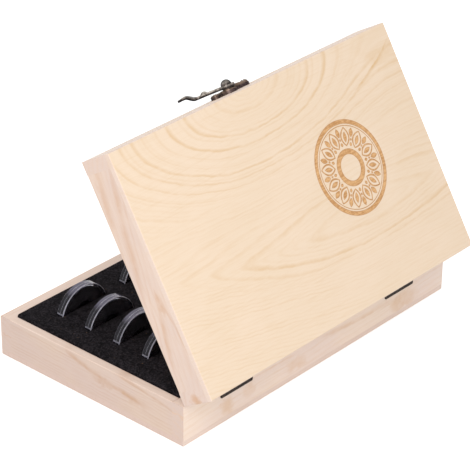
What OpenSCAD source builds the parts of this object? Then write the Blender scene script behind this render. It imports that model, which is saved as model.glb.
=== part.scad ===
// Wooden coin display case: a pine box on two butt hinges, with a swing hook,
// a foam insert and upright round capsules. Origin under the middle of the base,
// +X along the hinge line, -Y towards the hook, +Z up. Millimetres.

/* [Case] */
// Length of the case along its hinge line
case_l = 290; // [255:1:340]
// Width of the case from the hook to the hinges
case_w = 179; // [150:1:230]
// Height of the base with its bottom panel
base_h = 32.5; // [29:0.5:40]
// Height of the lid with its top panel
lid_h = 29; // [25:0.5:50]
// Thickness of the left and right rails
side_rail_t = 7; // [5:0.5:12]
// Thickness of the front and back rails
end_rail_t = 10; // [9:0.5:14]
// Thickness of the bottom panel
bottom_panel_t = 4.5; // [3:0.5:6]
// Thickness of the top panel
top_panel_t = 4; // [3:0.5:6]
// Gap between the two rims when the lid is shut
rim_gap = 0.3; // [0.2:0.1:1]
// Radius of the sanded edges of the rims
rim_edge_r = 0.6; // [0.3:0.1:1.5]
// Radius of the sanded edges of both panels
panel_edge_r = 0.8; // [0.5:0.1:2.5]
// Angle at which the lid stands open
lid_open = 58.8; // [0:0.1:175]

/* [Foam insert] */
// Height of the foam above the rim of the base
foam_proud = 2.8; // [0.5:0.1:4]
// Gap between the foam and the rails
foam_gap = 0.3; // [0.2:0.05:1]
// Foam left between the ends of the insert and the first slots
slot_end_margin = 18.7; // [6:0.1:24]
// Foam left between the long sides of the insert and the first slots
slot_side_margin = 19.7; // [6:0.1:24]
// Gap between a capsule and its slot, on each side
slot_gap = 0.15; // [0.1:0.05:0.5]

/* [Capsules] */
// Capsules along the case
columns = 4; // [2:1:4]
// Capsules across the case
rows = 5; // [2:1:5]
// Outer diameter of a capsule
capsule_d = 46; // [40:0.5:50]
// Thickness of a closed capsule
capsule_t = 6.4; // [5.4:0.1:8]
// Thickness of a capsule's round windows
window_t = 1.2; // [0.8:0.1:1.5]
// Thickness of a capsule's rim
capsule_rim_t = 1.2; // [0.8:0.1:2]
// Thickness of the spigot that holds the two shells together
spigot_t = 0.9; // [0.6:0.1:1.5]
// Groove left between the two shells
seam_gap = 0.25; // [0.1:0.05:0.5]
// Bevel round a capsule's outer edges
capsule_bevel = 0.4; // [0.2:0.1:0.6]
// Hole in the foam gasket, where the coin sits
gasket_hole_d = 20; // [15:1:34]
// Gap under a capsule
seat_gap = 0.15; // [0.1:0.05:0.5]

/* [Hinges] */
// Width of a hinge along the case
hinge_w = 33; // [20:1:45]
// Distance from the end of the case to a hinge
hinge_inset = 37.8; // [10:0.1:60]
// Height of a hinge leaf from the pin's axis
leaf_h = 10.5; // [8:0.5:14]
// Thickness of a hinge leaf
leaf_t = 0.8; // [0.6:0.1:1.2]
// Diameter of the knuckles
knuckle_d = 2.8; // [2.6:0.1:4]
// Diameter of the hinge pin
hinge_pin_d = 1.5; // [1:0.1:1.6]
// Knuckles in one hinge
knuckles = 5; // [3:2:7]
// Drop of the pin's axis below the rim of the base
pin_drop = 0.5; // [0:0.1:1]

/* [Hook] */
// Distance of the hook's pivot from the middle of the case
hook_x = 5; // [-60:0.1:60]
// Height of the hook's pivot above the rim of the lid
pivot_h = 8; // [7:0.5:14]
// Distance from the hook's pivot to the stud
stud_reach = 22; // [20:0.5:24]
// Angle of the hook below level, 90 being straight down on the stud
hook_turn = 50; // [-30:1:60]
// Length of the hook beyond the stud
beak_l = 14.4; // [12:0.1:18]
// Rise of the beak above the flat of the hook
beak_rise = 3.3; // [1:0.1:4]
// Thickness of the hook
hook_t = 2.3; // [1.8:0.1:2.8]
// Length of the two fixing plates
plate_l = 37.4; // [34:0.5:42]
// Offset of the plates' middles from the pivot and the stud
plate_shift = -1.4; // [-2.5:0.1:2.5]
// Thickness of the two fixing plates
plate_t = 3; // [2.4:0.1:3.4]
// Gap between the hook and the screw heads it passes over
hook_gap = 0.4; // [0.2:0.05:0.8]
// Diameter of the rivet that the hook turns on
rivet_d = 3; // [2.4:0.1:3.4]
// Diameter of the stud's neck
stud_d = 3.2; // [2.6:0.1:3.6]

/* [Screws] */
// Diameter of the wood screws
screw_d = 1.8; // [1.4:0.1:2]
// Length of a screw in the wood
screw_l = 7; // [5:0.5:8]

/* [Hidden] */
$fn = 64;
eps = 0.01;
// Clearance of a screw in its hole, and of a part seated in its own body
seat_fit = 0.02;
// Clearance of a pin that turns in its bore
run_fit = 0.05;
// Gap between faces that slide or turn past each other
face_gap = 0.1;

pine = [0.90, 0.80, 0.72];
panel_pine = [0.95, 0.87, 0.76];
foam_black = [0.06, 0.06, 0.065];
clear_plastic = [0.85, 0.88, 0.92, 0.4];
bronze = [0.30, 0.25, 0.22];

base_rail_h = base_h - bottom_panel_t;
lid_rail_h = lid_h - top_panel_t;
lid_z = base_h + rim_gap;
front_y = -case_w / 2;
back_y = case_w / 2;

foam_l = case_l - 2 * (side_rail_t + foam_gap);
foam_w = case_w - 2 * (end_rail_t + foam_gap);
foam_top = base_h + foam_proud;
slot_l = capsule_d + 2 * slot_gap;
slot_w = capsule_t + 2 * slot_gap;
pitch_x = (foam_l - 2 * slot_end_margin - slot_l) / (columns - 1);
pitch_y = (foam_w - 2 * slot_side_margin - slot_w) / (rows - 1);
capsule_r = capsule_d / 2;
capsule_z = bottom_panel_t + seat_gap + capsule_r;
spigot_r = capsule_r - capsule_rim_t - seat_fit;
gasket_r = spigot_r - spigot_t - face_gap;

// The leaves lie on the wood, and the knuckles stand a little clear of it.
knuckle_r = knuckle_d / 2;
knuckle_lift = 0.15;
pin_y = back_y + knuckle_r + knuckle_lift;
pin_z = base_h - pin_drop;
hinge_x = case_l / 2 - hinge_inset - hinge_w / 2;
knuckle_l = hinge_w / knuckles;
knuckle_gap = 0.2;
leaf_screw_x = hinge_w * 0.3;
leaf_screw_z = (leaf_h + knuckle_r) / 2;
leaf_corner_r = 1.2;

// Sunk screw heads: diameter, depth and crown, in the leaves and in the plates
leaf_head = [3.4, 0.7, 0.3];
plate_head = [4.4, 1.3, 0.5];
// The one round head stands where the hook doesn't pass over it.
round_head_d = 6.4;
round_head_h = 1.7;
round_head_turn = 40;
head_slot_w = 0.8;
pilot_d = screw_d + 2 * seat_fit;

// Fixing plates of the hook and the stud, about the pivot and the stud
plate_end_r = 3.6;
plate_mid_r = 6.5;
plate_neck_w = 6;
plate_step = 0.6;
plate_step_h = 0.6;
plate_right_x = plate_shift - plate_l / 2 + plate_end_r;
plate_left_x = plate_shift + plate_l / 2 - plate_end_r;
shoulder_h = 1.8;
shoulder_foot_h = 0.75;

// Height of the hook's underside above the wood
hook_lift = plate_t + plate_head[2] + hook_gap;
boss_r = 3.7;
eye_r = 5.8;
rivet_head_r = 4;
rivet_head_h = 3.8;
stud_head_r = 2.2;
stud_head_h = 1.4;
notch_r = stud_d / 2 + 0.25;
hook_l = stud_reach + beak_l;
hook_neck_w = 5.2;
hook_waist_w = 8.6;
beak_tip_r = 2.1;
beak_start = stud_reach + stud_head_r - 0.7;
beak_top = beak_start + (hook_l - beak_start) * 0.56;
beak_end_rise = beak_rise * 0.8;
beak_end_t = hook_t * 0.65;
nub_r = 2.6;
nub_h = 1.7;
nub_x = stud_reach - stud_head_r - nub_r - 0.1;

capsule_spots = [for (c = [0:columns - 1], r = [0:rows - 1]) [c, r]];
function capsule_name(s) = str("capsule_", chr(97 + s[0]), s[1] + 1);
function gasket_name(s) = str("gasket_", chr(97 + s[0]), s[1] + 1);

// Placing

// Turns what is drawn for a shut lid about the hinge pins.
module opened() {
    translate([0, pin_y, pin_z])
        rotate([-lid_open, 0, 0])
            translate([0, -pin_y, -pin_z])
                children();
}

// Local X along the case, Y up the front face, Z out of it
module on_lid_front() {
    opened()
        translate([hook_x, front_y, lid_z + pivot_h])
            rotate([90, 0, 0])
                children();
}

module on_base_front() {
    translate([hook_x, front_y, lid_z + pivot_h - stud_reach])
        rotate([90, 0, 0])
            children();
}

// Local frame of each hinge: X along its pin, leaves lie below and above
module at_hinges() {
    for (side = [-1, 1])
        translate([side * hinge_x, pin_y, pin_z])
            children();
}

module at_capsule(spot) {
    translate([(spot[0] - (columns - 1) / 2) * pitch_x,
               (spot[1] - (rows - 1) / 2) * pitch_y,
               capsule_z])
        rotate([90, 0, 0])
            children();
}

// Wood

// A w by h section standing on the X axis, with its two top corners rounded
module eased_section(w, h, r) {
    translate([-w / 2, 0])
        square([w, h - r]);
    translate([-w / 2 + r, 0])
        square([w - 2 * r, h]);
    for (side = [-1, 1])
        translate([side * (w / 2 - r), h - r])
            circle(r);
}

// A board along X that stands on z = 0, with its two top edges eased
module board_x(l, t, h, r) {
    rotate([90, 0, 90])
        linear_extrude(l, center = true)
            eased_section(t, h, r);
}

module board_y(l, t, h, r) {
    rotate([90, 0, 0])
        linear_extrude(l, center = true)
            eased_section(t, h, r);
}

// A panel over the whole case, with its four outer edges eased
module panel(t) {
    intersection() {
        board_x(case_l, case_w, t, panel_edge_r);
        board_y(case_w, case_l, t, panel_edge_r);
    }
}

// Pilot holes in the back face, for one leaf of each hinge
module hinge_pilots(above) {
    at_hinges()
        for (side = [-1, 1])
            translate([side * leaf_screw_x, -knuckle_r - knuckle_lift,
                       above * leaf_screw_z])
                rotate([90, 0, 0])
                    cylinder(h = 2 * screw_l, d = pilot_d, center = true);
}

// Pilot holes in a front face, for one fixing plate
module plate_pilots() {
    for (x = [plate_left_x, plate_right_x])
        translate([x, 0, 0])
            cylinder(h = 2 * screw_l, d = pilot_d, center = true);
}

module base_front_rail() {
    color(pine)
        difference() {
            translate([0, front_y + end_rail_t / 2, bottom_panel_t])
                board_x(case_l, end_rail_t, base_rail_h, rim_edge_r);
            on_base_front()
                plate_pilots();
        }
}

module base_back_rail() {
    color(pine)
        difference() {
            translate([0, back_y - end_rail_t / 2, bottom_panel_t])
                board_x(case_l, end_rail_t, base_rail_h, rim_edge_r);
            hinge_pilots(-1);
        }
}

module base_side_rail(side) {
    color(pine)
        translate([side * (case_l - side_rail_t) / 2, 0, bottom_panel_t])
            board_y(case_w - 2 * end_rail_t, side_rail_t, base_rail_h, rim_edge_r);
}

module base_left_rail() {
    base_side_rail(-1);
}

module base_right_rail() {
    base_side_rail(1);
}

module base_bottom_panel() {
    color(panel_pine)
        translate([0, 0, bottom_panel_t])
            mirror([0, 0, 1])
                panel(bottom_panel_t);
}

module lid_front_rail() {
    color(pine)
        difference() {
            opened()
                translate([0, front_y + end_rail_t / 2, lid_z + lid_rail_h])
                    mirror([0, 0, 1])
                        board_x(case_l, end_rail_t, lid_rail_h, rim_edge_r);
            on_lid_front()
                plate_pilots();
        }
}

module lid_back_rail() {
    color(pine)
        opened()
            difference() {
                translate([0, back_y - end_rail_t / 2, lid_z + lid_rail_h])
                    mirror([0, 0, 1])
                        board_x(case_l, end_rail_t, lid_rail_h, rim_edge_r);
                hinge_pilots(1);
            }
}

module lid_side_rail(side) {
    color(pine)
        opened()
            translate([side * (case_l - side_rail_t) / 2, 0, lid_z + lid_rail_h])
                mirror([0, 0, 1])
                    board_y(case_w - 2 * end_rail_t, side_rail_t, lid_rail_h, rim_edge_r);
}

module lid_left_rail() {
    lid_side_rail(-1);
}

module lid_right_rail() {
    lid_side_rail(1);
}

module lid_top_panel() {
    color(panel_pine)
        opened()
            translate([0, 0, lid_z + lid_rail_h])
                panel(top_panel_t);
}

// Foam and capsules

module foam_insert() {
    color(foam_black)
        difference() {
            translate([-foam_l / 2, -foam_w / 2, bottom_panel_t])
                cube([foam_l, foam_w, foam_top - bottom_panel_t]);
            for (s = capsule_spots)
                at_capsule(s)
                    cube([slot_l, 2 * capsule_d, slot_w], center = true);
        }
}

// One shell above the seam at z = 0. The points of wall lead from the window's
// inner face to the seam.
module capsule_shell(wall) {
    rotate_extrude()
        polygon(concat(
            [[0, capsule_t / 2], [0, capsule_t / 2 - window_t]],
            wall,
            [[capsule_r, seam_gap / 2], [capsule_r, capsule_t / 2 - capsule_bevel],
             [capsule_r - capsule_bevel, capsule_t / 2]]
        ));
}

module capsule(spot) {
    socket_r = capsule_r - capsule_rim_t;
    bore_r = spigot_r - spigot_t;
    floor_z = capsule_t / 2 - window_t;
    spigot_reach = capsule_t / 4;
    color(clear_plastic)
        at_capsule(spot) {
            capsule_shell([[socket_r, floor_z], [socket_r, seam_gap / 2]]);
            mirror([0, 0, 1])
                capsule_shell([[bore_r, floor_z], [bore_r, -spigot_reach],
                               [spigot_r, -spigot_reach], [spigot_r, seam_gap / 2]]);
        }
}

module gasket(spot) {
    gasket_t = capsule_t - 2 * (window_t + face_gap);
    color(foam_black)
        at_capsule(spot)
            difference() {
                cylinder(h = gasket_t, r = gasket_r, center = true);
                cylinder(h = gasket_t + 2 * eps, d = gasket_hole_d, center = true);
            }
}

// Hinges

// Knuckle number k of a hinge, and everything within grow of it
module knuckle(k, grow) {
    translate([(k - (knuckles - 1) / 2) * knuckle_l, 0, 0])
        rotate([0, 90, 0])
            cylinder(h = knuckle_l - knuckle_gap + 2 * grow, r = knuckle_r + grow,
                     center = true);
}

// One leaf below its pin: first is 0 for the leaf with the end knuckles
module leaf(first) {
    difference() {
        union() {
            difference() {
                translate([0, -knuckle_r - knuckle_lift, 0])
                    rotate([-90, 0, 0])
                        linear_extrude(leaf_t)
                            leaf_outline();
                for (k = [1 - first:2:knuckles - 1])
                    knuckle(k, knuckle_gap);
            }
            for (k = [first:2:knuckles - 1])
                knuckle(k, 0);
        }
        rotate([0, 90, 0])
            cylinder(h = hinge_w + 1, d = hinge_pin_d + 2 * run_fit, center = true);
        for (side = [-1, 1])
            translate([side * leaf_screw_x, -knuckle_r - knuckle_lift, -leaf_screw_z])
                rotate([-90, 0, 0])
                    sunk_seat(leaf_t, leaf_head);
    }
}

// Seen from outside, with its two lower corners rounded
module leaf_outline() {
    translate([-hinge_w / 2, 0])
        square([hinge_w, leaf_h - leaf_corner_r]);
    translate([-hinge_w / 2 + leaf_corner_r, 0])
        square([hinge_w - 2 * leaf_corner_r, leaf_h]);
    for (side = [-1, 1])
        translate([side * (hinge_w / 2 - leaf_corner_r), leaf_h - leaf_corner_r])
            circle(leaf_corner_r);
}

// Countersink in a plate of thickness t that lies on z = 0
module sunk_seat(t, head) {
    translate([0, 0, -eps])
        cylinder(h = t + 2 * eps, d = pilot_d);
    translate([0, 0, t - head[1]])
        cylinder(h = head[1] + eps, d1 = pilot_d, d2 = head[0] + 2 * seat_fit);
}

module hinge_base_leaves() {
    color(bronze)
        at_hinges()
            leaf(0);
}

module hinge_lid_leaves() {
    color(bronze)
        opened()
            at_hinges()
                mirror([0, 0, 1])
                    leaf(1);
}

module hinge_pins() {
    cap_h = 0.5;
    color(bronze)
        at_hinges()
            rotate([0, 90, 0]) {
                cylinder(h = hinge_w, d = hinge_pin_d, center = true);
                for (side = [-1, 1])
                    translate([0, 0, side * (hinge_w + cap_h) / 2])
                        cylinder(h = cap_h, r = knuckle_r * 0.9, center = true);
            }
}

// Hook and stud

// Outline of a fixing plate, drawn in by inset
module plate_outline(inset) {
    circle(plate_mid_r - inset);
    translate([plate_right_x, -plate_neck_w / 2 + inset])
        square([plate_left_x - plate_right_x, plate_neck_w - 2 * inset]);
    for (x = [plate_left_x, plate_right_x])
        translate([x, 0])
            circle(plate_end_r - inset);
}

module fixing_plate() {
    linear_extrude(plate_t - plate_step_h)
        plate_outline(0);
    linear_extrude(plate_t)
        plate_outline(plate_step);
}

// Raised part of the hook's plate, between the eye and the round screw head
module plate_shoulder() {
    near = -eye_r + 1;
    far = plate_right_x + round_head_d / 2 + 0.3;
    difference() {
        rotate([90, 0, 0])
            linear_extrude(plate_neck_w - 2 * plate_step, center = true)
                polygon([[near, plate_t - eps], [near, plate_t + shoulder_h],
                         [near * 0.35 + far * 0.65, plate_t + shoulder_h * 0.8],
                         [far, plate_t + shoulder_foot_h], [far, plate_t - eps]]);
        cylinder(h = 3 * plate_t, r = eye_r + hook_gap);
    }
}

// A round cap of radius r and height h that stands on z = 0
module dome(r, h) {
    ball_r = (r * r + h * h) / (2 * h);
    rotate_extrude()
        intersection() {
            translate([0, h - ball_r])
                circle(ball_r);
            square([r, h]);
        }
}

module hook_plate() {
    color(bronze)
        on_lid_front()
            difference() {
                union() {
                    fixing_plate();
                    plate_shoulder();
                    cylinder(h = hook_lift - face_gap, r = boss_r);
                }
                translate([0, 0, -eps])
                    cylinder(h = hook_lift + eps, d = rivet_d + 2 * seat_fit);
                translate([plate_left_x, 0, 0])
                    sunk_seat(plate_t, plate_head);
                translate([plate_right_x, 0, -eps])
                    cylinder(h = plate_t + 2 * eps, d = pilot_d);
            }
}

module hook_rivet() {
    head_z = hook_lift + hook_t + face_gap;
    color(bronze)
        on_lid_front() {
            cylinder(h = head_z + eps, d = rivet_d);
            translate([0, 0, head_z])
                dome(rivet_head_r, rivet_head_h);
        }
}

// Height of the middle of the hook's strip above its flat, at x along the hook
function beak_z(x) =
    x < beak_start ? 0
    : x < beak_top
        ? beak_rise * (1 - cos(180 * (x - beak_start) / (beak_top - beak_start))) / 2
        : beak_end_rise + (beak_rise - beak_end_rise)
            * (1 + cos(180 * (x - beak_top) / (hook_l - beak_top))) / 2;

function beak_slope(x) = atan2(beak_z(x + 0.05) - beak_z(x - 0.05), 0.1);

// The strip thins from the top of the beak to its end.
function strip_t(x) =
    x < beak_top ? hook_t
    : hook_t + (beak_end_t - hook_t) * (x - beak_top) / (hook_l - beak_top);

function strip_side(x, side) =
    [x, beak_z(x)] + side * strip_t(x) / 2 * [-sin(beak_slope(x)), cos(beak_slope(x))];

// Side view of the strip that the hook is bent from
module hook_side_view() {
    steps = 18;
    xs = concat([-eye_r], [for (i = [0:steps]) beak_start + (hook_l - beak_start) * i / steps]);
    polygon(concat(
        [for (x = xs) strip_side(x, 1)],
        [for (i = [len(xs) - 1:-1:0]) strip_side(xs[i], -1)]
    ));
}

// Face view of the hook, pointing along X from its pivot
module hook_outline() {
    difference() {
        union() {
            circle(eye_r);
            polygon([[0, hook_neck_w / 2], [nub_x, hook_neck_w / 2],
                     [stud_reach, hook_waist_w / 2], [hook_l - beak_tip_r, beak_tip_r],
                     [hook_l - beak_tip_r, -beak_tip_r], [stud_reach, -hook_waist_w / 2],
                     [nub_x, -hook_neck_w / 2], [0, -hook_neck_w / 2]]);
            translate([stud_reach, 0])
                circle(d = hook_waist_w);
            translate([hook_l - beak_tip_r, 0])
                circle(beak_tip_r);
        }
        translate([stud_reach, 0])
            circle(notch_r);
        // The stud's way in, round the pivot and out of the closing edge
        intersection() {
            difference() {
                circle(stud_reach + notch_r);
                circle(stud_reach - notch_r);
            }
            translate([0, -hook_waist_w])
                square([hook_l, hook_waist_w]);
        }
    }
}

module hook() {
    color(bronze)
        on_lid_front()
            rotate([0, 0, -hook_turn])
                difference() {
                    union() {
                        intersection() {
                            linear_extrude(hook_lift + hook_t + beak_rise + 1)
                                hook_outline();
                            translate([0, 0, hook_lift + hook_t / 2])
                                rotate([90, 0, 0])
                                    linear_extrude(4 * eye_r, center = true)
                                        hook_side_view();
                        }
                        translate([nub_x, 0, hook_lift + hook_t - eps])
                            dome(nub_r, nub_h);
                    }
                    cylinder(h = 2 * hook_lift + hook_t, d = rivet_d + 2 * run_fit);
                }
}

module stud_plate() {
    neck_top = hook_lift + hook_t + 3 * face_gap;
    color(bronze)
        on_base_front() {
            difference() {
                fixing_plate();
                for (x = [plate_left_x, plate_right_x])
                    translate([x, 0, 0])
                        sunk_seat(plate_t, plate_head);
            }
            cylinder(h = neck_top + eps, d = stud_d);
            translate([0, 0, neck_top])
                dome(stud_head_r, stud_head_h);
        }
}

// Screws

// The part of a screw below its head, which starts at z = top
module screw_shank(top) {
    translate([0, 0, -screw_l + 1])
        cylinder(h = screw_l - 1 + top + eps, d = screw_d);
    translate([0, 0, -screw_l])
        cylinder(h = 1, d1 = screw_d / 3, d2 = screw_d);
}

// A screw in z = 0, its crowned head sunk in a plate of thickness t
module sunk_screw(t, head) {
    screw_shank(t - head[1]);
    translate([0, 0, t - head[1]])
        cylinder(h = head[1], d1 = screw_d, d2 = head[0]);
    translate([0, 0, t])
        slotted_dome(head[0] / 2, head[2], head[2] * 0.8);
}

// A screw whose round head sits on a fixing plate
module round_screw() {
    screw_shank(plate_t);
    translate([0, 0, plate_t])
        rotate([0, 0, round_head_turn])
            slotted_dome(round_head_d / 2, round_head_h, round_head_h * 0.6);
}

module slotted_dome(r, h, slot_depth) {
    difference() {
        dome(r, h);
        translate([-r - 1, -head_slot_w / 2, h - slot_depth])
            cube([2 * r + 2, head_slot_w, slot_depth + 1]);
    }
}

module leaf_screws(above) {
    at_hinges()
        for (side = [-1, 1])
            translate([side * leaf_screw_x, -knuckle_r - knuckle_lift,
                       above * leaf_screw_z])
                rotate([-90, 0, 0])
                    sunk_screw(leaf_t, leaf_head);
}

module base_screws() {
    color(bronze) {
        leaf_screws(-1);
        on_base_front()
            for (x = [plate_left_x, plate_right_x])
                translate([x, 0, 0])
                    sunk_screw(plate_t, plate_head);
    }
}

module lid_screws() {
    color(bronze) {
        opened()
            leaf_screws(1);
        on_lid_front() {
            translate([plate_left_x, 0, 0])
                sunk_screw(plate_t, plate_head);
            translate([plate_right_x, 0, 0])
                round_screw();
        }
    }
}

base_front_rail();
base_back_rail();
base_left_rail();
base_right_rail();
base_bottom_panel();
foam_insert();
lid_front_rail();
lid_back_rail();
lid_left_rail();
lid_right_rail();
lid_top_panel();
hinge_base_leaves();
hinge_lid_leaves();
hinge_pins();
hook_plate();
hook();
hook_rivet();
stud_plate();
base_screws();
lid_screws();
for (s = capsule_spots) {
    capsule(s);
    gasket(s);
}
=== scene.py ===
"""The looks of the wooden coin case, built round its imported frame.

Lengths are in metres, unless a name ends in _MM. The wood's patterns are laid out in millimetres
on the case, with the lid's as if it were shut.
"""

import math

import bmesh
import bpy
from mathutils import Matrix, Vector, noise


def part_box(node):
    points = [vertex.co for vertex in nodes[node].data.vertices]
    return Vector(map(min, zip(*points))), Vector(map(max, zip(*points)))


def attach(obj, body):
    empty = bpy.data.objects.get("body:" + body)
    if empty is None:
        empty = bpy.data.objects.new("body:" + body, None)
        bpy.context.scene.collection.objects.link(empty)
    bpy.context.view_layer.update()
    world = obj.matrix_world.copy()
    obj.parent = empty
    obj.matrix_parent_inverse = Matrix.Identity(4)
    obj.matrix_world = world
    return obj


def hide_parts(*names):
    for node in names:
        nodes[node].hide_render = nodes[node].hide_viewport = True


MM = 0.001
WHITE = (1, 1, 1, 1)

# The case as its solids have it
CASE_L_MM = 290
CASE_W_MM = 179
CASE_H_MM = 61.8
BASE_H_MM = 32.5
RIM_GAP_MM = 0.3
RIM_Z_MM = BASE_H_MM + RIM_GAP_MM / 2
PIN_Y_MM = 91.05
PIN_Z_MM = 32
LID_OPEN = math.radians(58.8)

# Its foam and capsules
FOAM_TOP_MM = 35.3
CAPSULE_TOP_MM = 50.65
CAPSULE_PITCH_MM = 28.075
CAPSULE_T_MM = 6.4
SLOT_GAP_MM = 0.15

# Its hook: the pivot, the slant, and places along it and heights off the wood of its beak
PIVOT_X_MM = 5
PIVOT_Z_MM = 40.8
HOOK_SLANT = math.radians(50)
STRIP_MIDDLE_MM = 5.05
BEAK_START_MM = 23.5
BEAK_TOP_MM = 30.7
BEAK_RISE_MM = 3.3

# Camera of the photograph
CAMERA_AT = (1.1199, 0.9962, 0.9037)
CAMERA_AZIMUTH = 131.455
CAMERA_ELEVATION = 28.997
CAMERA_ROLL = 0.486
LENS_MM = 179.84
SENSOR_MM = 36

# Light and floor
ROOM_LIGHT = 0.79
LAMP_AT = (0.78, 0.64, 0.86)
LAMP_TOWARDS = (0, 0.03, 0.06)
LAMP_SIZE = 0.7
LAMP_WATTS = 6.1
FLOOR_REACH = 12.0
FLOOR_COLOUR = (0.86, 0.86, 0.86, 1)
FLOOR_GLOW = 0.5


def srgb(r, g, b):
    """An sRGB colour, 0 to 255 each, as the linear colour that Blender takes."""
    def linear(c):
        c /= 255
        return c / 12.92 if c <= 0.04045 else ((c + 0.055) / 1.055) ** 2.4
    return (linear(r), linear(g), linear(b), 1.0)


class Graph:
    """Builds the nodes of one material or world with short calls. Values may be numbers, tuples
    or sockets."""

    def __init__(self, owner, kind):
        self.owner = owner
        owner.use_nodes = True
        self.tree = owner.node_tree
        self.tree.nodes.clear()
        self.out = self.tree.nodes.new("ShaderNodeOutput" + kind)

    def node(self, kind, inputs, **settings):
        made = self.tree.nodes.new("ShaderNode" + kind)
        for key, value in settings.items():
            setattr(made, key, value)
        for key, value in inputs.items():
            if isinstance(value, bpy.types.NodeSocket):
                self.tree.links.new(value, made.inputs[key])
            elif value is not None:
                made.inputs[key].default_value = value
        return made

    def finish(self, shader):
        """Puts the shader node on the surface, and returns the material or world."""
        self.tree.links.new(shader.outputs[0], self.out.inputs["Surface"])
        return self.owner

    def math(self, operation, a, b=None, c=None, clamp=False):
        made = self.node("Math", {0: a, 1: b, 2: c}, operation=operation, use_clamp=clamp)
        return made.outputs[0]

    def chain(self, operation, values):
        total = values[0]
        for value in values[1:]:
            total = self.math(operation, total, value)
        return total

    def add(self, *values):
        return self.chain("ADD", values)

    def most(self, *values):
        return self.chain("MAXIMUM", values)

    def least(self, *values):
        return self.chain("MINIMUM", values)

    def sub(self, a, b):
        return self.math("SUBTRACT", a, b)

    def mul(self, a, b):
        return self.math("MULTIPLY", a, b)

    def absolute(self, value):
        return self.math("ABSOLUTE", value)

    def hypot(self, a, b):
        return self.math("SQRT", self.math("MULTIPLY_ADD", a, a, self.mul(b, b)))

    def smooth(self, value, low, high, to_low=0.0, to_high=1.0):
        """to_low below low, to_high above high, and a soft step between them."""
        made = self.node("MapRange", {"Value": value, "From Min": low, "From Max": high,
                                      "To Min": to_low, "To Max": to_high},
                         interpolation_type="SMOOTHSTEP")
        return made.outputs["Result"]

    def fade(self, value, low, high):
        return self.smooth(value, low, high, 1.0, 0.0)

    def mix(self, factor, a, b):
        return self.node("Mix", {0: factor, 6: a, 7: b}, data_type="RGBA").outputs[2]

    def noise(self, vector, scale, detail=2.0, roughness=0.5):
        made = self.node("TexNoise", {"Vector": vector, "Scale": scale, "Detail": detail,
                                      "Roughness": roughness})
        return made.outputs["Fac"]

    def grain_noise(self, vector, stretch, detail, roughness):
        """Noise with a scale of its own along each axis."""
        scaled = self.node("VectorMath", {0: vector, 1: stretch}, operation="MULTIPLY")
        return self.noise(scaled.outputs[0], 1.0, detail, roughness)

    def ramp(self, factor, stops, interpolation="LINEAR"):
        """stops are (place, grey) pairs."""
        made = self.node("ValToRGB", {"Fac": factor})
        made.color_ramp.interpolation = interpolation
        points = made.color_ramp.elements
        while len(points) < len(stops):
            points.new(0.5)
        for point, (place, grey) in zip(points, stops):
            point.position = place
            point.color = (grey, grey, grey, 1)
        return made.outputs["Color"]

    def bump(self, height, strength, distance):
        return self.node("Bump", {"Height": height, "Strength": strength,
                                  "Distance": distance}).outputs["Normal"]


def new_material(name):
    return Graph(bpy.data.materials.new(name), "Material")


def object_place(g):
    return g.node("TexCoord", {}).outputs["Object"]


def case_coordinates(g, on_lid):
    """X, Y and Z in millimetres, with the lid's as if it were shut."""
    place = object_place(g)
    if on_lid:
        pin = (0, PIN_Y_MM * MM, PIN_Z_MM * MM)
        place = g.node("Mapping", {"Vector": place, "Location": pin,
                                   "Rotation": (-LID_OPEN, 0, 0)},
                       vector_type="TEXTURE").outputs[0]
        place = g.node("VectorMath", {0: place, 1: pin}, operation="ADD").outputs[0]
    place = g.node("VectorMath", {0: place, "Scale": 1 / MM}, operation="SCALE").outputs[0]
    split = g.node("SeparateXYZ", {0: place})
    return split.outputs[0], split.outputs[1], split.outputs[2]


# Wood

# Each board's pale wood, its warmer patches and its late wood
CREAM_PINE = (srgb(236, 214, 189), srgb(238, 216, 192), srgb(221, 186, 141))
PALE_PINE = (srgb(244, 225, 213), srgb(247, 228, 212), srgb(226, 188, 150))
PINK_PINE = (srgb(225, 203, 191), srgb(230, 207, 191), srgb(210, 168, 134))
DARK_PINE = (srgb(218, 196, 185), srgb(222, 200, 184), srgb(202, 164, 134))

# The panels' sawn edges, and the rails' rims where base and lid meet, painted paler as painted
# light
SHORT_EDGE_PINE = srgb(232, 211, 198)
LONG_EDGE_PINE = srgb(237, 216, 203)
FOOT_EDGE_PINE = srgb(220, 197, 186)
RIM_LIT_PINE = srgb(236, 214, 200)
EDGE_FROM_MM = 0.45
EDGE_TO_MM = 0.15

SCORCH_PALE = srgb(224, 174, 116)
SCORCH_DARK = srgb(192, 141, 90)
SCORCH_EDGE = srgb(184, 132, 84)

# Noise in the wood: its scales along and across the grain per millimetre, detail and roughness
BENDS = ((0.012, 0.035, 0.035), 2.0, 0.5)
RIPPLES = ((0.07, 0.1, 0.1), 2.0, 0.6)
FIBRES = ((0.05, 2.2, 2.2), 3.0, 0.65)
THREADS = ((0.035, 0.75, 0.75), 3.0, 0.7)

# How far the noise moves the late wood and the blots, and how far apart the seeds lie
BEND_MM = 5.0
RIPPLE_MM = 3.2
CLOUD_MM = 14.0
SEED_STEP_MM = 137.0


def streak(g, u, v, start, end, sag, width, strength):
    """One line of late wood from start to end, bowed across the grain by sag, and sharp on its
    lower side."""
    (u0, v0), (u1, v1) = start, end
    t = g.mul(g.sub(u, u0), 1 / (u1 - u0))
    bow = g.mul(g.mul(t, g.sub(1.0, t)), 4 * sag)
    off = g.sub(v, g.add(g.math("MULTIPLY_ADD", t, v1 - v0, v0), bow))
    across = g.mul(g.smooth(off, -width * 0.4, 0.0), g.fade(off, 0.0, width))
    ends = g.mul(g.smooth(t, 0.0, 0.2), g.fade(t, 0.75, 1.0))
    return g.mul(g.mul(across, ends), strength)


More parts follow.
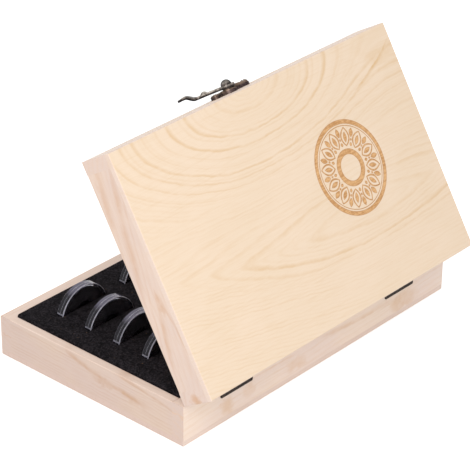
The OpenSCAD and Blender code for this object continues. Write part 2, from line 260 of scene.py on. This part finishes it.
def blot(g, place, middle, reach, strength):
    """A soft dark spot in the wood, reach being its half size each way."""
    parts = [g.mul(g.sub(axis, m), 1 / r) for axis, m, r in zip(place, middle, reach)]
    return g.smooth(g.add(*[g.mul(part, part) for part in parts]), 0.0, 1.0, strength, 0.0)


def rings(g, distance, lines, reach):
    """Growth rings round a heart, each as (distance from it, strength, width)."""
    stops = [(0.0, 0.0)]
    for at, strength, width in lines:
        stops += [((at - width * 0.6) / reach, 0.0), (at / reach, strength),
                  ((at + width * 0.3) / reach, 0.0)]
    return g.ramp(g.mul(distance, 1 / reach), stops)


def fine_lines(g, field, spacing, shift):
    """Faint parallel rings, each of its own strength. Another shift gives other strengths."""
    phase = g.mul(field, 1 / spacing)
    which = g.node("TexWhiteNoise", {"W": g.add(g.math("FLOOR", phase), shift)},
                   noise_dimensions="1D").outputs["Value"]
    line = g.ramp(g.math("FRACT", phase),
                  [(0.0, 0.0), (0.35, 0.1), (0.7, 1.0), (1.0, 0.0)], "EASE")
    return g.mul(line, g.math("MULTIPLY_ADD", which, 0.8, 0.2))


def streaks(lines, blots=(), slant=0.0, spacing=5.0, faint=0.25):
    """A pattern of streak arguments and blot arguments over faint lines that climb by slant."""
    def pattern(g, u, v, w, place):
        field = g.add(v, g.mul(w, 0.4), g.mul(u, slant))
        masks = [g.mul(fine_lines(g, field, spacing, 5.0), faint)]
        masks += [streak(g, u, v, *line) for line in lines]
        masks += [blot(g, place, *spot) for spot in blots]
        return g.most(*masks)
    return pattern


# The lid panel's grain, in millimetres: rings round a basin at its front edge, and round a long
# tongue near its back. Lines are as rings takes them.
BASIN = (8, -89.5)
BASIN_STRETCH = 2.25
BASIN_REACH = 75.0
BASIN_LINES = [(14.5, 0.5, 3.5), (21, 0.2, 2.0), (28.5, 0.95, 2.8), (36.5, 1.0, 2.6),
               (41.5, 0.45, 2.0), (47, 0.35, 2.0), (51.5, 0.85, 2.4), (56.5, 0.75, 2.2),
               (61.5, 0.65, 2.2), (67, 0.5, 2.0)]
TONGUE = (-63, 26.5)
TONGUE_STRETCH = 6.6
TONGUE_REACH = 48.0
TONGUE_LINES = [(10.3, 0.55, 4.0), (20.6, 0.9, 3.2), (25.0, 0.6, 2.6), (29.2, 0.5, 2.4),
                (33.6, 0.45, 2.2), (37.0, 0.25, 2.0), (40.6, 0.5, 2.2), (43.5, 0.4, 2.0)]
FAINT_RINGS = 0.34


def basin_grain(g, u, v):
    """Ovals that open up towards the right, far from their heart."""
    du = g.sub(u, BASIN[0])
    open_up = g.most(g.sub(-70.0, du), 0.0)
    along = g.sub(g.mul(g.absolute(du), 1 / BASIN_STRETCH), g.mul(g.mul(open_up, open_up), 0.0029))
    distance = g.hypot(g.sub(v, BASIN[1]), along)
    beyond = g.mul(g.smooth(distance, 68.0, 72.0), g.mul(fine_lines(g, distance, 4.6, 3.0), 0.5))
    lines = g.most(rings(g, distance, BASIN_LINES, BASIN_REACH), beyond,
                   g.mul(fine_lines(g, distance, 2.9, 7.0), FAINT_RINGS))
    return g.mul(lines, g.fade(v, -34.0, -14.0))


def tongue_grain(g, u, v):
    """A tongue that is pointed inside and round outside, on a line that bends forward at its left
    end, and close faint lines behind it that slope down to the right."""
    bend = g.most(g.add(u, 10.0), 0.0)
    middle = g.sub(TONGUE[1], g.mul(g.mul(bend, bend), 0.00085))
    off_middle = g.sub(v, middle)
    aside = g.absolute(off_middle)
    power = g.smooth(aside, 8.0, 28.0, 1.4, 2.0)
    ahead = g.mul(g.absolute(g.sub(u, TONGUE[0])), 1 / TONGUE_STRETCH)
    distance = g.math("POWER", g.add(g.math("POWER", aside, power), g.math("POWER", ahead, power)),
                      g.math("DIVIDE", 1.0, power))
    behind = g.smooth(off_middle, -2.0, 2.0)
    front_only = g.sub(1.0, g.mul(behind, g.smooth(distance, 22.0, 34.0)))
    lines = g.most(rings(g, distance, TONGUE_LINES, TONGUE_REACH),
                   g.mul(fine_lines(g, distance, 2.3, 9.0), FAINT_RINGS))
    lines = g.mul(lines, g.mul(front_only, g.smooth(v, -26.0, -16.0)))
    lines = g.mul(lines, g.math("MULTIPLY_ADD", behind, 0.35, 0.65))
    slide = g.add(u, 20.0)
    slope = g.mul(g.add(slide, g.hypot(slide, 40.0)), 0.1)
    close = g.mul(fine_lines(g, g.add(v, slope), 2.7, 11.0),
                  g.mul(behind, g.smooth(distance, 21.0, 30.0)))
    return g.most(lines, g.mul(close, g.smooth(u, -70.0, 60.0, 0.24, 0.5)))


def lid_panel_grain(g, u, v, w, place):
    return g.most(basin_grain(g, u, v), tongue_grain(g, u, v),
                  streak(g, u, v, (-88, -52), (-146, -78), 1.5, 3.5, 1.3),
                  blot(g, place, (-128, -69, 60), (20, 8, 60), 0.55))


# The medallion burnt into the lid, in millimetres on the shut lid
MEDALLION_X = -57.6
MEDALLION_Y = -5.3
LEAVES = 12


def medallion(g, x, y):
    """A plain rosette of leaves between two rings, as the depth inside its burnt lines."""
    dx = g.sub(x, MEDALLION_X)
    dy = g.sub(y, MEDALLION_Y)
    radius = g.hypot(dx, dy)
    leaf_angle = 2 * math.pi / LEAVES
    cell = g.sub(g.math("FRACT", g.mul(g.math("ARCTAN2", dy, dx), 1 / leaf_angle)), 0.5)
    off_leaf = g.mul(g.mul(cell, leaf_angle), radius)
    off_gap = g.mul(g.mul(g.sub(0.5, g.absolute(cell)), leaf_angle), radius)

    def ring(inner, outer):
        return g.least(g.sub(radius, inner), g.sub(outer, radius))

    def leaf(sideways, middle, half_length, half_width):
        along = g.mul(g.sub(radius, middle), 1 / half_length)
        return g.sub(g.mul(g.sub(1.0, g.mul(along, along)), half_width), g.absolute(sideways))

    big = leaf(off_leaf, 22.6, 7.2, 4.6)
    outline = g.least(big, g.sub(1.35, big))
    return g.most(ring(32.0, 35.3), ring(9.7, 13.9), ring(30.4, 31.0), outline,
                  leaf(off_leaf, 22.2, 4.0, 1.7), leaf(off_gap, 26.0, 3.6, 1.9),
                  leaf(off_gap, 17.2, 1.6, 1.2), leaf(off_gap, 20.8, 1.1, 0.8))


def at_edge(g, axis, size):
    """1 on the case's outermost faces across an axis."""
    return g.smooth(g.absolute(axis), size / 2 - EDGE_FROM_MM, size / 2 - EDGE_TO_MM)


def wood(name, on_lid, grain, seed, pattern, colours, strength=0.8, sawn=None, burn=None):
    """Pine whose grain runs along grain, X or Y, or along X on a PANEL. pattern(g, u, v, w, place)
    gives its dark lines, with u along the grain, v across the board's widest face and w into the
    board. sawn is the colour of its sawn ends, and burn(g, x, y) the depth of what is burnt in."""
    light, warm, ring = colours
    g = new_material(name)
    x, y, z = case_coordinates(g, on_lid)
    u, v, w = {"X": (x, z, y), "Y": (y, z, x), "PANEL": (x, y, z)}[grain]
    spot = g.node("CombineXYZ", {0: g.add(u, seed * SEED_STEP_MM), 1: v, 2: w}).outputs[0]
    fibres = g.grain_noise(spot, *FIBRES)
    threads = g.grain_noise(spot, *THREADS)

    # Late wood
    wander = g.add(g.mul(g.sub(g.grain_noise(spot, *BENDS), 0.5), BEND_MM),
                   g.mul(g.sub(g.grain_noise(spot, *RIPPLES), 0.5), RIPPLE_MM))
    cloud = g.mul(g.sub(g.noise(spot, 0.11, 2.0, 0.6), 0.5), CLOUD_MM)
    lines = pattern(g, u, g.add(v, wander), w, (g.add(x, cloud), y, g.add(z, cloud)))
    lines = g.mul(lines, g.smooth(g.noise(spot, 0.06, 3.0, 0.7), 0.35, 0.6, 0.55, 1.1))

    # The wood between, with the rims where base and lid meet painted paler as painted light, and
    # the sawn edges
    body = g.mix(g.smooth(g.noise(spot, 0.02, 3.0), 0.35, 0.65), light, warm)
    if grain != "PANEL":
        at_rim = g.fade(g.absolute(g.sub(z, RIM_Z_MM)), 0.3, 0.75)
        body = g.mix(at_rim, body, RIM_LIT_PINE)
    if sawn:
        at_end = at_edge(g, x, CASE_L_MM)
        body = g.mix(at_end, body, sawn)
        if grain == "PANEL":
            at_side = at_edge(g, y, CASE_W_MM)
            lines = g.mul(lines, g.sub(1.0, g.mul(g.most(at_end, at_side), 0.5)))
            body = g.mix(at_side, body, LONG_EDGE_PINE)

    mask = g.math("MULTIPLY", lines, strength, clamp=True)
    colour = g.mix(mask, body, ring)
    colour = g.mix(g.mul(g.smooth(fibres, 0.5, 0.8), 0.12), colour, ring)
    colour = g.mix(g.mul(g.smooth(threads, 0.45, 0.75), 0.22), colour, ring)
    height = g.add(g.mul(fibres, 0.5), g.mul(threads, 0.3), g.mul(mask, 0.35))
    if burn:
        depth = burn(g, x, y)
        # On the outer face alone
        burnt = g.mul(g.smooth(depth, -0.18, 0.18), g.smooth(z, CASE_H_MM - 1.2, CASE_H_MM - 0.6))
        patches = g.add(g.mul(threads, 0.6), g.mul(g.noise(spot, 0.35, 3.0, 0.7), 0.5))
        uneven = g.smooth(patches, 0.42, 0.68)
        scorch = g.mix(uneven, SCORCH_PALE, SCORCH_DARK)
        scorch = g.mix(g.smooth(depth, 0.15, 0.75, 0.75, 0.0), scorch, SCORCH_EDGE)
        colour = g.mix(g.mul(burnt, g.smooth(uneven, 0.0, 1.0, 0.9, 1.0)), colour, scorch)
        height = g.add(height, g.mul(burnt, -1.6))
    return g.finish(g.node("BsdfPrincipled", {
        "Base Color": colour, "Roughness": g.smooth(fibres, 0.2, 0.8, 0.5, 0.64),
        "Specular IOR Level": 0.3, "Normal": g.bump(height, 0.35, 0.00012)}))


# Foam and clear plastic

FOAM_DARK = srgb(16, 15, 17)
FOAM_LIGHT = srgb(53, 49, 53)
# The gasket's foam is painted lighter than the insert's, as painted light standing in for the light
# that the clear shells keep from it
GASKET_DARK = srgb(50, 47, 49)
GASKET_LIGHT = srgb(80, 76, 79)
DUST = srgb(120, 92, 66)

CLEAR = srgb(240, 240, 246)
# Painted shade for the clear rims, darker low down and lighter at the top, standing for the dark
# foam seen through them
PAINTED_RIM_SHADE_LOW = srgb(24, 19, 32)
PAINTED_RIM_SHADE_TOP = srgb(88, 82, 108)
# The colour of the rim's pale lines, most of them painted highlights
RIM_LINE = srgb(222, 220, 236)


def foam_material(name, dark, light, fleck):
    """Black open foam, with a grey speckle of cells and now and then a pale fleck of dust."""
    g = new_material(name)
    place = object_place(g)
    cells = g.noise(place, 760.0, 3.0, 0.8)
    clump = g.noise(place, 150.0, 3.0, 0.6)
    dust = g.smooth(g.noise(place, 520.0, 0.0), 0.82, 0.86)
    speckle = g.smooth(g.add(g.mul(cells, 0.8), g.mul(clump, 0.2)), 0.4, 0.66)
    colour = g.mix(speckle, dark, light)
    colour = g.mix(g.mul(dust, fleck), colour, DUST)
    height = g.add(g.mul(cells, 0.8), g.mul(clump, 0.8))
    return g.finish(g.node("BsdfPrincipled", {
        "Base Color": colour, "Roughness": 0.95, "Specular IOR Level": 0.04,
        "Normal": g.bump(height, 0.9, 0.0009)}))


def clear_material(name):
    """Clear plastic, with painted shade where one looks into its rim that lightens towards its top,
    and pale lines on the rim, most of them painted highlights.
    """
    g = new_material(name)
    place = object_place(g)
    _, y, z = case_coordinates(g, False)
    cell = g.math("FRACT", g.add(g.mul(y, 1 / CAPSULE_PITCH_MM), 0.5))
    off_seam = g.mul(g.sub(cell, 0.5), CAPSULE_PITCH_MM)
    facing = g.node("SeparateXYZ", {0: g.node("NewGeometry", {}).outputs["Normal"]}).outputs[1]
    on_rim = g.fade(g.absolute(facing), 0.8, 0.95)
    high = g.smooth(z, CAPSULE_TOP_MM - 5.0, CAPSULE_TOP_MM - 0.5)

    # The pale lines: painted highlights on the rim's two edges and its seam, a pale line at its
    # foot, and a painted sheen on its top
    half = CAPSULE_T_MM / 2
    near_edge = g.smooth(off_seam, half - 0.85, half - 0.6, 0.0, 0.8)
    far_edge = g.smooth(off_seam, -half + 0.3, -half + 0.55, 0.62, 0.0)
    seam = g.smooth(g.absolute(off_seam), 0.08, 0.26, 0.7, 0.0)
    foot = g.mul(g.smooth(z, FOAM_TOP_MM - 1.15, FOAM_TOP_MM - 0.65),
                 g.smooth(z, FOAM_TOP_MM - 0.15, FOAM_TOP_MM + 0.35, 0.6, 0.0))
    sheen = g.mul(high, g.smooth(g.absolute(off_seam), 0.15, 0.5, 1.0, 0.22))
    uneven = g.smooth(g.noise(place, 90.0, 3.0, 0.7), 0.35, 0.65, 0.7, 1.0)
    pale = g.mul(g.mul(on_rim, uneven), g.most(near_edge, far_edge, seam, foot, sheen))

    scuffs = g.smooth(g.noise(place, 900.0, 3.0, 0.7), 0.3, 0.8, 0.03, 0.12)
    # Painted shade where one looks into the rim, lighter towards its top
    colour = g.mix(on_rim, CLEAR, g.mix(high, PAINTED_RIM_SHADE_LOW, PAINTED_RIM_SHADE_TOP))
    # Pale lines, most of them painted highlights
    colour = g.mix(pale, colour, RIM_LINE)
    return g.finish(g.node("BsdfPrincipled", {
        "Base Color": colour, "Roughness": g.most(scuffs, g.mul(pale, 0.4)),
        "IOR": 1.49, "Specular IOR Level": 0.2,
        "Transmission Weight": g.sub(1.0, g.mul(g.most(pale, on_rim), 0.6)),
        "Normal": g.bump(g.noise(place, 160.0, 2.0), 0.05, 0.0003)}))


# Bronze

# Each bronze's dark and light mottle and its bright colour, partly wear and partly painted
# highlight
GUNMETAL = (srgb(32, 27, 27), srgb(98, 88, 84), srgb(182, 174, 164))
BROWNED = (srgb(38, 31, 32), srgb(104, 88, 82), srgb(158, 136, 116))
BLACKENED = (srgb(24, 17, 13), srgb(46, 33, 26), srgb(92, 70, 52))
HOLLOW = srgb(22, 18, 18)
# Painted shade on the hook's underside
HOOK_UNDERSIDE_SHADE = srgb(24, 20, 20)
# Painted shade on the rivet's sides that turn away from view
RIVET_SIDE_SHADE = srgb(34, 28, 30)
PLATE_DULL_END = srgb(86, 72, 74)

# How bright the hook's painted highlight is, along it from its pivot as a share of
# HOOK_HIGHLIGHT_REACH_MM
HOOK_HIGHLIGHT_REACH_MM = 40
HOOK_HIGHLIGHT = [(0.0, 0.8), (0.45, 1.0), (0.55, 0.35), (0.7, 0.3), (0.8, 0.9), (0.86, 0.6),
             (0.9, 0.0)]


def bronze_material(name, on_lid, bright_from, bright_to, colours, wear_and_highlight_strength, part):
    """Antique bronze: mottled, black in its hollows, and bright on what stands from bright_from to
    bright_to millimetres or more off the wood, or off the middle of the hook's strip, partly as
    wear and partly as painted highlight. part is hook, rivet or plate for the pieces with looks of
    their
    own: the hook's highlight is painted, with painted shade on its underside, and the rivet has
    painted shade where it turns away."""
    dark, light, wear_and_highlight_colour = colours
    g = new_material(name)
    place = object_place(g)
    x, y, z = case_coordinates(g, on_lid)
    pointed = g.node("NewGeometry", {}).outputs["Pointiness"]
    height = g.sub(g.absolute(y), CASE_W_MM / 2)
    blotch = g.noise(place, 300.0, 4.0, 0.65)
    fine = g.noise(place, 1300.0, 3.0, 0.6)
    mottle = g.smooth(g.add(g.mul(blotch, 0.8), g.mul(fine, 0.2)), 0.4, 0.6)
    # On the hook the brightness is a painted highlight, on the upper half of its strip and stronger
    # or weaker along it
    if part == "hook":
        along = g.add(g.mul(g.sub(x, PIVOT_X_MM), math.cos(HOOK_SLANT)),
                      g.mul(g.sub(z, PIVOT_Z_MM), -math.sin(HOOK_SLANT)))
        height = g.sub(height, g.smooth(along, BEAK_START_MM, BEAK_TOP_MM,
                                        STRIP_MIDDLE_MM, STRIP_MIDDLE_MM + BEAK_RISE_MM))
        wear_and_highlight_strength = g.mul(g.ramp(g.mul(along, 1 / HOOK_HIGHLIGHT_REACH_MM), HOOK_HIGHLIGHT), wear_and_highlight_strength)
    # Wear and painted highlight on what stands off the wood
    wear_and_highlight = g.mul(g.smooth(height, bright_from, bright_to), g.smooth(mottle, 0.0, 1.0, 0.45, 1.0))
    wear_and_highlight = g.math("MULTIPLY", wear_and_highlight, wear_and_highlight_strength, clamp=True)
    if part == "plate":
        light = g.mix(g.smooth(x, 4.0, 14.0), PLATE_DULL_END, light)
    colour = g.mix(mottle, dark, light)
    colour = g.mix(wear_and_highlight, colour, wear_and_highlight_colour)
    colour = g.mix(g.smooth(pointed, 0.44, 0.49, 0.9, 0.0), colour, HOLLOW)
    if part == "rivet":
        # Painted shade where the rivet's dome turns away
        turned_away = g.node("LayerWeight", {"Blend": 0.5}).outputs["Facing"]
        colour = g.mix(g.smooth(turned_away, 0.2, 0.6, 0.0, 0.95), colour, RIVET_SIDE_SHADE)
    if part == "hook":
        # Painted shade on the lower half of the hook's strip
        colour = g.mix(g.smooth(height, -0.75, 0.0, 0.9, 0.0), colour, HOOK_UNDERSIDE_SHADE)
    return g.finish(g.node("BsdfPrincipled", {
        "Base Color": colour, "Metallic": 0.85,
        "Roughness": g.smooth(mottle, 0.0, 1.0, 0.5, 0.3),
        "Normal": g.bump(g.add(g.mul(blotch, 0.6), g.mul(fine, 0.5)), 0.4, 0.00016)}))


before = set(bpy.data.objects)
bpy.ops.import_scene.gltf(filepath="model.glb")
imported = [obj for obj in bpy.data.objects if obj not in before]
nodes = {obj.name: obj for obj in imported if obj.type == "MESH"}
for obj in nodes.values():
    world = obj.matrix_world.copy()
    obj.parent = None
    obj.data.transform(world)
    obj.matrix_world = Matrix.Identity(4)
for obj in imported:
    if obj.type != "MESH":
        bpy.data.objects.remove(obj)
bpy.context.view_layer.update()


def dress(node, material):
    mesh = nodes[node].data
    mesh.materials.clear()
    mesh.materials.append(material)


# The rails, each as its grain, seed, pattern, colours and the colour of its sawn ends. A streak is
# (start, end, sag, width, strength), with places along and across the board, and a blot is
# (middle, reach, strength).
RAILS = {
    "lid_right_rail": ("Y", 4, streaks(
        [((-92, 59), (18, 36), -1, 5.5, 0.56),
         ((-70, 52), (30, 34), -2, 4, 0.36),
         ((2, 51.5), (90, 59), 1.5, 3, 0.5),
         ((2, 52), (72, 35), 0, 4.5, 0.6),
         ((-100, 45), (-30, 34), 0, 7, 0.5)],
        blots=[((145, 17, 51), (30, 13, 4), 0.7), ((145, -66, 40), (30, 16, 4), 0.3)],
        slant=0.2, faint=0.35), PINK_PINE, None),
    "base_right_rail": ("Y", 7, streaks(
        [((-30, 33), (64, 16.5), -4.4, 5, 0.95),
         ((-8, 27.5), (50, 16), -2, 2.5, 0.45),
         ((18, 32.5), (98, 22), 1, 3, 0.7)],
        blots=[((145, 15, 20.5), (30, 16, 4), 0.85), ((145, 44, 17), (30, 14, 3), 0.4)],
        slant=0.02, spacing=2.6, faint=0.45), DARK_PINE, None),
    # The back rail's pale wood is painted light, standing in for the light that the open lid keeps
    # off it
    "base_back_rail": ("X", 9, streaks(
        [((5, 21), (-90, 17), -1.5, 4, 0.6),
         ((82, 23), (22, 20.5), 0, 2, 0.5),
         ((40, 17), (12, 7.5), 0, 5, 0.5),
         ((-50, 19), (-112, 12), -1, 4, 0.35)],
        blots=[((100, 89.5, 12), (8, 12, 10), 0.6), ((77, 89.5, 14), (8, 12, 9), 0.6),
               ((26, 89.5, 12), (14, 12, 7), 0.5), ((-98, 89.5, 11), (20, 12, 10), 0.7),
               ((145, 88, 23.5), (3, 16, 1.5), 0.7)],
        slant=0.03), PALE_PINE, DARK_PINE[0]),
    "lid_back_rail": ("X", 12, streaks(
        [((-110, 50), (60, 44), 3, 4, 0.7)],
        blots=[((145, 88, 47), (14, 7.5, 6), 0.9)],
        slant=0.02), PINK_PINE, PINK_PINE[0]),
    "base_front_rail": ("X", 10, streaks(
        [((-130, 12), (70, 20), 4, 4, 0.8), ((-20, 27), (140, 22), -2, 3, 0.6)],
        blots=[((145, -83, 17), (12, 9, 1.2), 0.6)],
        slant=-0.02), PINK_PINE, DARK_PINE[0]),
    "lid_front_rail": ("X", 11, streaks(
        [((-100, 40), (110, 50), -3, 4, 0.7)], slant=0.03), PALE_PINE, PINK_PINE[0]),
    "base_left_rail": ("Y", 6, streaks(
        [((-85, 24), (40, 12), 3, 4, 0.8)], slant=0.03), PINK_PINE, None),
    "lid_left_rail": ("Y", 5, streaks(
        [((-40, 42), (88, 54), -3, 4, 0.8), ((-90, 55), (10, 50), 2, 3, 0.6)],
        slant=-0.04), PINK_PINE, None),
}
for name, (grain, seed, pattern, colours, sawn) in RAILS.items():
    dress(name, wood(name.replace("_rail", "_pine"), name.startswith("lid_"), grain, seed,
                     pattern, colours, sawn=sawn))
dress("lid_top_panel", wood("lid_panel_pine", True, "PANEL", 3, lid_panel_grain, CREAM_PINE, 0.7,
                            sawn=SHORT_EDGE_PINE, burn=medallion))
bottom_grain = streaks([((-120, 40), (90, 10), 14, 5, 0.6), ((-60, -30), (130, -55), -9, 4, 0.5)],
                       slant=0.05, spacing=6.0)
dress("base_bottom_panel", wood("bottom_panel_pine", False, "PANEL", 8, bottom_grain, DARK_PINE,
                                sawn=FOOT_EDGE_PINE))

foam = foam_material("foam_black", FOAM_DARK, FOAM_LIGHT, 0.5)
# The gasket's lighter foam is painted light
gasket_foam = foam_material("gasket_black", GASKET_DARK, GASKET_LIGHT, 0.1)
clear = clear_material("clear_plastic")
for name in nodes:
    if name.startswith("capsule_"):
        dress(name, clear)
    elif name.startswith("gasket_"):
        dress(name, gasket_foam)

# The bronzes, each as whether it is on the lid, from and to which height it is bright with wear and
# painted highlight, its colours, how strongly so, its part, and its nodes
BRONZES = {
    "hook_bronze": (True, -0.2, 0.8, GUNMETAL, 1.0, "hook", ["hook"]),
    "rivet_bronze": (True, 6.8, 8.8, GUNMETAL, 0.9, "rivet", ["hook_rivet"]),
    "plate_bronze": (True, 1.6, 3.4, BROWNED, 0.7, "plate", ["hook_plate", "lid_screws"]),
    "stud_bronze": (False, 1.6, 3.4, BROWNED, 0.7, "", ["stud_plate", "base_screws"]),
    "lid_hinge_bronze": (True, 0.4, 2.6, BLACKENED, 0.4, "", ["hinge_lid_leaves"]),
    "base_hinge_bronze": (False, 0.4, 2.6, BLACKENED, 0.4, "",
                          ["hinge_base_leaves", "hinge_pins"]),
}
for name, (*looks, dressed) in BRONZES.items():
    bronze = bronze_material(name, *looks)
    for node in dressed:
        dress(node, bronze)


# The foam insert, with softened edges and a slightly uneven top

FOAM_EASE = 1.6 * MM
FOAM_STEP = 2.4 * MM
EASE_PARTS = (0.12, 0.4, 1.0)
ROUGH_MM = 0.22
ROUGH_SCALE = 420
WAVE_MM = 0.25
WAVE_SCALE = 24
SHARP_ANGLE = math.radians(50)


def lines_between(low, high, openings):
    """Grid lines from low to high: close ones for the eased edges, and others about FOAM_STEP
    apart."""
    fixed = [low] + [edge for opening in openings for edge in opening] + [high]
    lines = set()
    for i, (a, b) in enumerate(zip(fixed, fixed[1:])):
        lines.update((a, b))
        if i % 2 == 0:
            near = [a + FOAM_EASE * part for part in EASE_PARTS]
            far = [b - FOAM_EASE * part for part in EASE_PARTS]
            lines.update(near + far)
            a, b = near[-1], far[-1]
        count = max(1, round((b - a) / FOAM_STEP))
        lines.update(a + (b - a) * k / count for k in range(1, count))
    return sorted(lines)


def capsule_slots():
    """Where the foam's slots start and end, along X and along Y."""
    gap = SLOT_GAP_MM * MM
    slots_x, slots_y = set(), set()
    for name in nodes:
        if name.startswith("capsule_"):
            near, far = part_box(name)
            slots_x.add((round(near[0] - gap, 6), round(far[0] + gap, 6)))
            slots_y.add((round(near[1] - gap, 6), round(far[1] + gap, 6)))
    return sorted(slots_x), sorted(slots_y)


def foam_mesh():
    low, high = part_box("foam_insert")
    slots_x, slots_y = capsule_slots()
    xs = lines_between(low[0], high[0], slots_x)
    ys = lines_between(low[1], high[1], slots_y)

    def in_slot(x, y):
        return any(a < x < b for a, b in slots_x) and any(a < y < b for a, b in slots_y)

    def edge_distance(x, y):
        """How far a spot on the top is from the nearest side or slot."""
        best = min(x - low[0], high[0] - x, y - low[1], high[1] - y)
        for ax, bx in slots_x:
            for ay, by in slots_y:
                best = min(best, math.hypot(max(ax - x, 0, x - bx), max(ay - y, 0, y - by)))
        return max(best, 0.0)

    def top_height(x, y):
        off = min(edge_distance(x, y) / FOAM_EASE, 1.0)
        drop = FOAM_EASE * (1 - math.sqrt(1 - (1 - off) ** 2))
        rough = noise.noise(Vector((x, y, 0.3)) * ROUGH_SCALE) * 0.5 + 0.5
        wave = noise.noise(Vector((x, y, 0.7)) * WAVE_SCALE) * 0.5 + 0.5
        return high[2] - drop - (ROUGH_MM * rough + WAVE_MM * wave) * MM

    bm = bmesh.new()
    made = {}

    def vertex(on_top, i, j):
        if (on_top, i, j) not in made:
            z = top_height(xs[i], ys[j]) if on_top else low[2]
            made[on_top, i, j] = bm.verts.new((xs[i], ys[j], z))
        return made[on_top, i, j]

    for i in range(len(xs) - 1):
        for j in range(len(ys) - 1):
            if in_slot((xs[i] + xs[i + 1]) / 2, (ys[j] + ys[j + 1]) / 2):
                continue
            corners = [(i, j), (i + 1, j), (i + 1, j + 1), (i, j + 1)]
            bm.faces.new([vertex(True, *corner) for corner in corners])
            bm.faces.new([vertex(False, *corner) for corner in reversed(corners)])
    # The sides, and the walls of the slots
    keys = {vert: key for key, vert in made.items()}
    for edge in [e for e in bm.edges if len(e.link_faces) == 1]:
        (on_top, *a), (_, *b) = keys[edge.verts[0]], keys[edge.verts[1]]
        if on_top:
            bm.faces.new([vertex(True, *a), vertex(True, *b), vertex(False, *b), vertex(False, *a)])
    bmesh.ops.recalc_face_normals(bm, faces=bm.faces)
    mesh = bpy.data.meshes.new("foam_block")
    bm.to_mesh(mesh)
    bm.free()
    mesh.shade_smooth()
    mesh.set_sharp_from_angle(angle=SHARP_ANGLE)
    return mesh


def add_foam():
    block = bpy.data.objects.new("foam_block", foam_mesh())
    block.data.materials.append(foam)
    bpy.context.scene.collection.objects.link(block)
    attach(block, "base")
    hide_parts("foam_insert")


# Floor, light and camera

def seen_directly(g):
    """1 for what the camera sees, also in metal and through clear plastic."""
    path = g.node("LightPath", {})
    return g.most(path.outputs["Is Camera Ray"], path.outputs["Is Glossy Ray"],
                  path.outputs["Is Transmission Ray"])


def floor_material():
    g = new_material("pale_floor")
    matte = g.node("BsdfDiffuse", {"Color": FLOOR_COLOUR})
    glow = g.node("Emission", {"Color": WHITE, "Strength": g.mul(seen_directly(g), FLOOR_GLOW)})
    return g.finish(g.node("AddShader", {0: matte.outputs[0], 1: glow.outputs[0]}))


def add_floor():
    mesh = bpy.data.meshes.new("floor")
    r = FLOOR_REACH
    mesh.from_pydata([(-r, -r, 0), (r, -r, 0), (r, r, 0), (-r, r, 0)], [], [(0, 1, 2, 3)])
    mesh.materials.append(floor_material())
    floor = bpy.data.objects.new("floor", mesh)
    bpy.context.scene.collection.objects.link(floor)


def add_world():
    g = Graph(bpy.data.worlds.new("white_room"), "World")
    room = g.node("Background", {"Color": WHITE, "Strength": ROOM_LIGHT})
    white = g.node("Background", {"Color": WHITE, "Strength": 1.0})
    bpy.context.scene.world = g.finish(g.node("MixShader", {
        0: seen_directly(g), 1: room.outputs[0], 2: white.outputs[0]}))


def add_lamp():
    lamp = bpy.data.lights.new("key", "AREA")
    lamp.shape = "SQUARE"
    lamp.size = LAMP_SIZE
    lamp.energy = LAMP_WATTS
    holder = bpy.data.objects.new("key", lamp)
    holder.location = LAMP_AT
    holder.rotation_mode = "QUATERNION"
    holder.rotation_quaternion = (Vector(LAMP_TOWARDS) - Vector(LAMP_AT)).to_track_quat("-Z", "Y")
    bpy.context.scene.collection.objects.link(holder)


def add_camera():
    data = bpy.data.cameras.new("camera")
    data.sensor_width = SENSOR_MM
    data.lens = LENS_MM
    data.clip_start = 0.05
    camera = bpy.data.objects.new("camera", data)
    turned = (Matrix.Rotation(math.radians(CAMERA_AZIMUTH), 4, "Z")
              @ Matrix.Rotation(math.radians(90 - CAMERA_ELEVATION), 4, "X")
              @ Matrix.Rotation(math.radians(CAMERA_ROLL), 4, "Z"))
    camera.matrix_world = Matrix.Translation(CAMERA_AT) @ turned
    bpy.context.scene.collection.objects.link(camera)
    bpy.context.scene.camera = camera


add_foam()
add_floor()
add_world()
add_lamp()
add_camera()
bpy.context.scene.view_settings.view_transform = "Standard"
